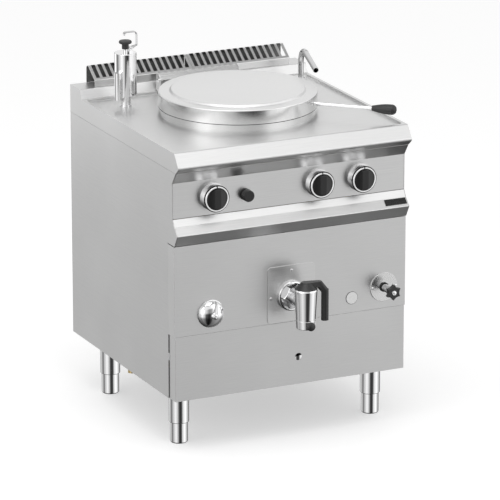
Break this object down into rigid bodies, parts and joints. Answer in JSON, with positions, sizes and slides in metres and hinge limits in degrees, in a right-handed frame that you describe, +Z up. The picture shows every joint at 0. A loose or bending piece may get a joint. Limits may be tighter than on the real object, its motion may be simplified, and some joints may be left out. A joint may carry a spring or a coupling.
{
  "type": "gas boiling pan",
  "caption": "Free-standing gas boiling pan with a round lidded, jacketed pan in a pressed worktop, drain tap, control knobs, swivel spout, flue grille and adjustable legs.",
  "frame": {"origin": "on the floor, under the middle of the box around the whole object", "axes": "+Z up, -Y toward the front with the knobs and the drain tap, +X to the right seen from the front"},
  "size_m": [0.7, 0.8284, 1.055],
  "materials": {
    "steel": "brushed",
    "chrome": "polished",
    "black": "matte",
    "brass": "plain",
    "iron": "heat stained",
    "spring": "oiled",
    "wool": "matte"
  },
  "bodies": {
    "casing": {"worktop": "steel", "flue_grille_left": "steel", "flue_grille_right": "steel", "side_panel_left": "steel", "side_panel_right": "steel", "back_panel": "steel", "control_panel": "steel", "front_rail": "steel", "blank_plate": "black", "upper_front_panel": "steel", "lower_front_panel": "steel", "base_frame": "steel", "leg_tubes": "steel", "inner_pan": "steel", "steam_jacket": "steel", "insulation": "wool", "combustion_chamber": "iron", "flue_duct": "iron", "burner": "iron", "gas_pipes": "brass", "gas_valve": "brass", "igniter_unit": "black", "water_valves": "brass", "water_pipes": "brass", "jacket_pipes": "brass", "drain_pipe": "steel", "hinge_bracket": "steel", "hinge_pin": "chrome", "hinge_springs": "spring", "valve_foot": "chrome", "valve_body": "chrome", "spout_socket": "chrome", "knob_bezels": "chrome", "tap_plate": "steel", "tap_nut": "chrome", "tap_body": "chrome", "level_flange": "steel", "plug_disc": "steel"},
    "lid": {"lid_shell": "steel", "lid_liner": "steel", "lid_handle_rod": "chrome", "lid_handle_grip": "black", "hinge_channel": "steel"},
    "vent": {"vent_stem": "chrome", "vent_knob": "black"},
    "relief": {"relief_lever": "chrome"},
    "spout": {"spout_tube": "chrome"},
    "gas_dial": {"gas_knob": "black"},
    "hot_water_dial": {"hot_water_knob": "black"},
    "cold_water_dial": {"cold_water_knob": "black"},
    "igniter_push": {"igniter_button": "black"},
    "tap_handle": {"tap_lever": "black"},
    "tap_lock": {"tap_lock_knob": "black"},
    "filler": {"fill_knob": "chrome"},
    "level_wheel": {"level_stem": "chrome", "level_handwheel": "black"},
    "foot_fl": {"foot_front_left": "steel"},
    "foot_fr": {"foot_front_right": "steel"},
    "foot_rl": {"foot_rear_left": "steel"},
    "foot_rr": {"foot_rear_right": "steel"}
  },
  "joints": [
    {"name": "lid_hinge", "type": "hinge", "parent": "casing", "child": "lid", "pos_m": [0, 0.31575, 0.884], "axis": [-1, 0, 0], "range_deg": [0, 88]},
    {"name": "spout_swivel", "type": "hinge", "parent": "casing", "child": "spout", "pos_m": [0.292, 0.25775, 0.87], "axis": [0, 0, 1], "range_deg": [-75, 30]},
    {"name": "gas_knob_turn", "type": "hinge", "parent": "casing", "child": "gas_dial", "pos_m": [-0.229, -0.27165, 0.71295], "axis": [0, -1, 0], "range_deg": [0, 210]},
    {"name": "hot_water_turn", "type": "hinge", "parent": "casing", "child": "hot_water_dial", "pos_m": [0.086, -0.27165, 0.71295], "axis": [0, -1, 0], "range_deg": [0, 270]},
    {"name": "cold_water_turn", "type": "hinge", "parent": "casing", "child": "cold_water_dial", "pos_m": [0.2133, -0.27165, 0.71295], "axis": [0, -1, 0], "range_deg": [0, 270]},
    {"name": "igniter_travel", "type": "slide", "parent": "casing", "child": "igniter_push", "axis": [0, 1, 0], "range_m": [0, 0.004], "stiffness_N_per_m": 500, "springref_m": -0.002},
    {"name": "tap_lever_turn", "type": "hinge", "parent": "casing", "child": "tap_handle", "pos_m": [0, -0.37425, 0.452], "axis": [0, 0, -1], "range_deg": [0, 85]},
    {"name": "tap_lock_turn", "type": "hinge", "parent": "casing", "child": "tap_lock", "pos_m": [0, -0.37425, 0.353], "axis": [0, -1, 0], "range_deg": [0, 90]},
    {"name": "handwheel_turn", "type": "hinge", "parent": "casing", "child": "level_wheel", "pos_m": [0.283, -0.28225, 0.394], "axis": [0, -1, 0], "range_deg": [0, 360]},
    {"name": "fill_knob_turn", "type": "hinge", "parent": "casing", "child": "filler", "pos_m": [-0.241, -0.28225, 0.388], "axis": [0, -1, 0], "range_deg": [0, 90]},
    {"name": "vent_lift", "type": "slide", "parent": "casing", "child": "vent", "axis": [0, 0, 1], "range_m": [0, 0.006], "stiffness_N_per_m": 300, "springref_m": -0.003},
    {"name": "relief_tilt", "type": "hinge", "parent": "casing", "child": "relief", "pos_m": [-0.242, 0.24175, 1.008], "axis": [0, 1, 0], "range_deg": [0, 45]},
    {"name": "foot_front_left_slide", "type": "slide", "parent": "casing", "child": "foot_fl", "axis": [0, 0, -1], "range_m": [0, 0.03]},
    {"name": "foot_front_right_slide", "type": "slide", "parent": "casing", "child": "foot_fr", "axis": [0, 0, -1], "range_m": [0, 0.03]},
    {"name": "foot_rear_left_slide", "type": "slide", "parent": "casing", "child": "foot_rl", "axis": [0, 0, -1], "range_m": [0, 0.03]},
    {"name": "foot_rear_right_slide", "type": "slide", "parent": "casing", "child": "foot_rr", "axis": [0, 0, -1], "range_m": [0, 0.03]}
  ]
}
